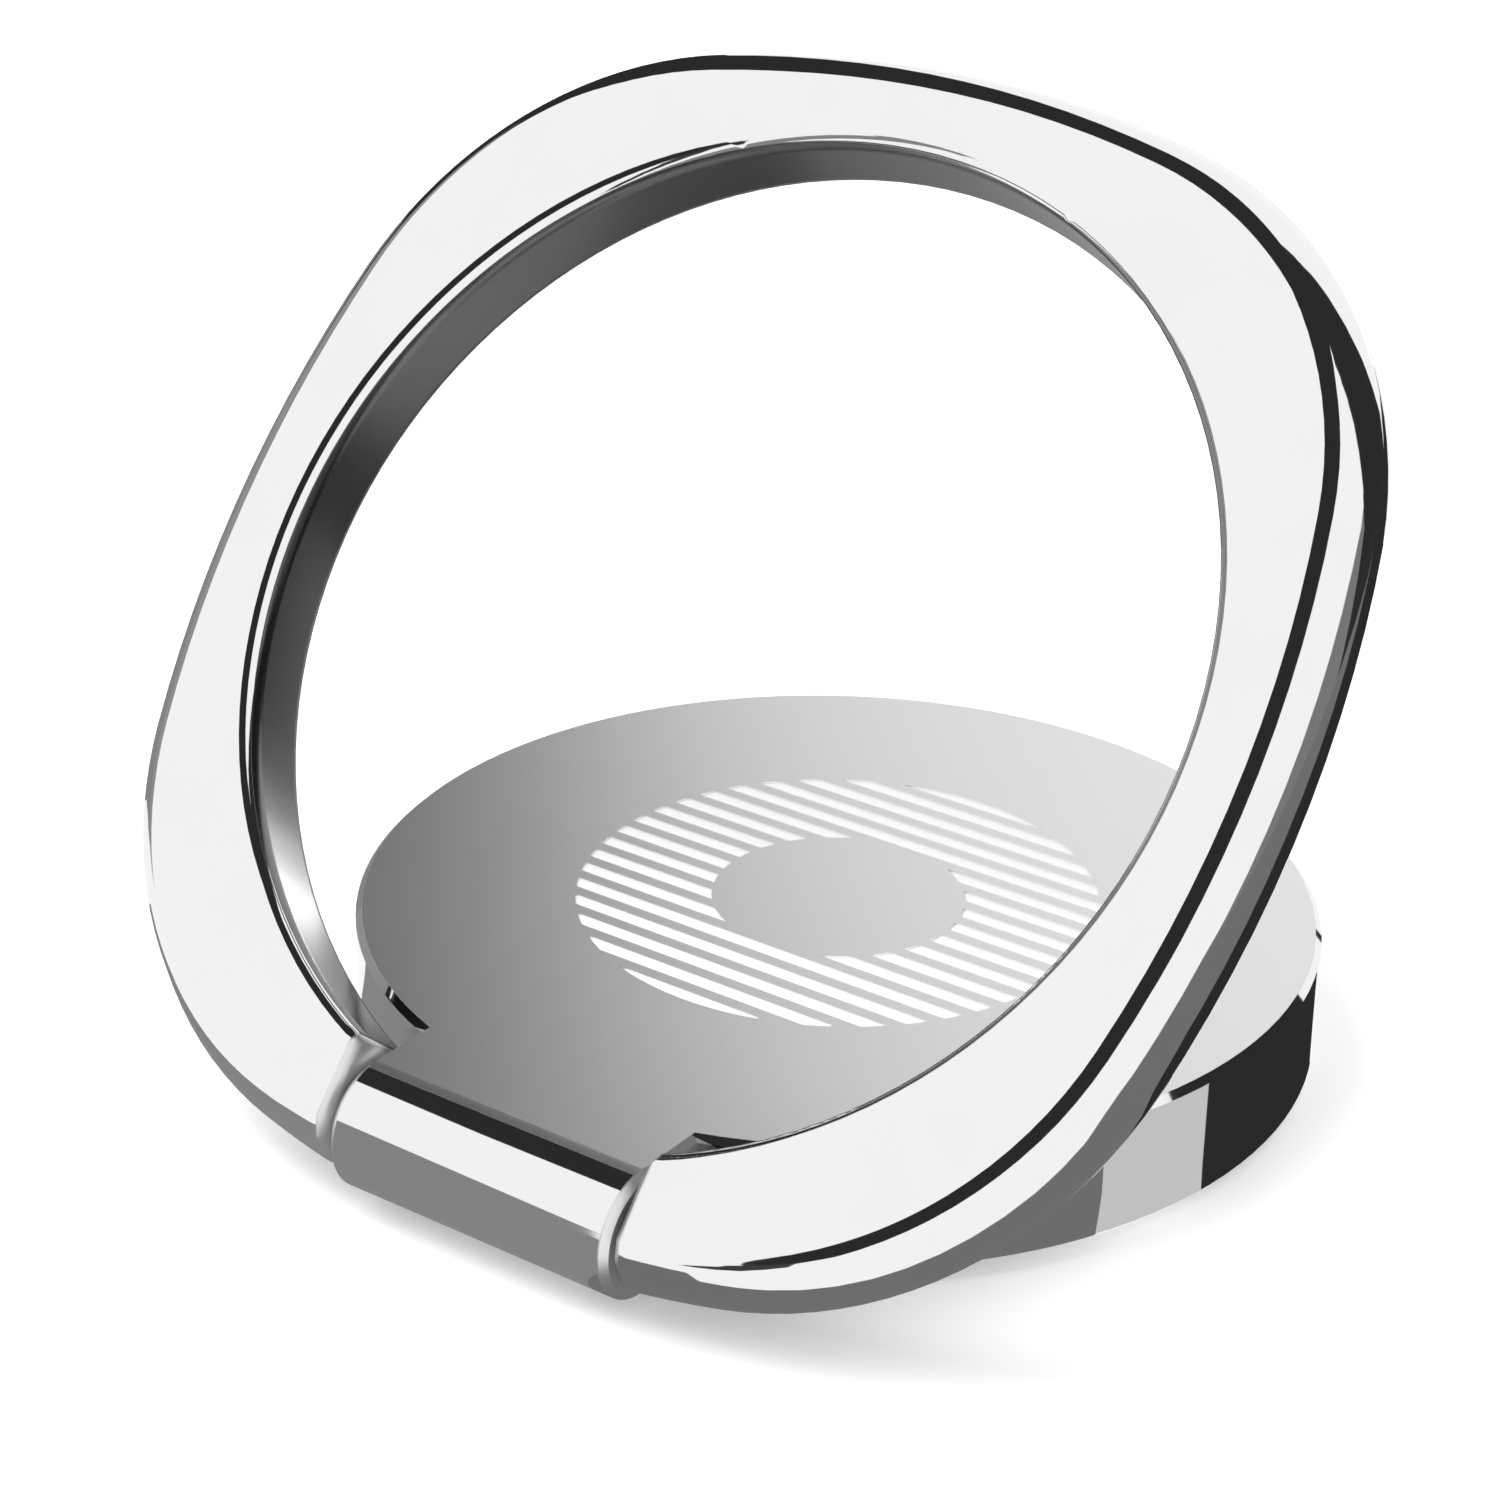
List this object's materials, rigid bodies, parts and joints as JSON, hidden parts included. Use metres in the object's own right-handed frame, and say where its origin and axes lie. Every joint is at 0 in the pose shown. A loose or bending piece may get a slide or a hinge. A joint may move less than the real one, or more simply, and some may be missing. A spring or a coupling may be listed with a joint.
{
  "type": "phone ring holder",
  "caption": "Stick-on phone ring holder: swivelling round disc with a hinged, chromed finger ring that tips up as a loop or stand and folds flat round the disc.",
  "frame": {"origin": "centre of the pad's adhesive face, on the swivel axis", "axes": "+Z away from the phone along the swivel axis, -Y from the disc's centre to the hinge, +X along the hinge pin"},
  "size_m": [0.0368, 0.0334, 0.0296],
  "materials": {
    "satin_plate": "satin top, bright plated sides",
    "bright_plate": "mirror plated",
    "steel": "plain bright steel",
    "slip_plastic": "natural moulded plastic",
    "pad_foam": "matt adhesive foam"
  },
  "bodies": {
    "base": {"adhesive_pad": "pad_foam", "base_plate": "steel", "slip_washer": "slip_plastic"},
    "disc": {"turntable": "satin_plate", "friction_sleeve": "steel", "retaining_rivet": "steel", "disc_spring": "steel"},
    "ring": {"finger_ring": "bright_plate", "hinge_pin": "steel"}
  },
  "joints": [
    {"name": "swivel", "type": "hinge", "parent": "base", "child": "disc", "pos_m": [0, 0, 0], "axis": [0, 0, 1], "continuous": true},
    {"name": "ring_tilt", "type": "hinge", "parent": "disc", "child": "ring", "pos_m": [0, -0.0164, 0.0024], "axis": [1, 0, 0], "range_deg": [-49.5, 130.5]}
  ]
}
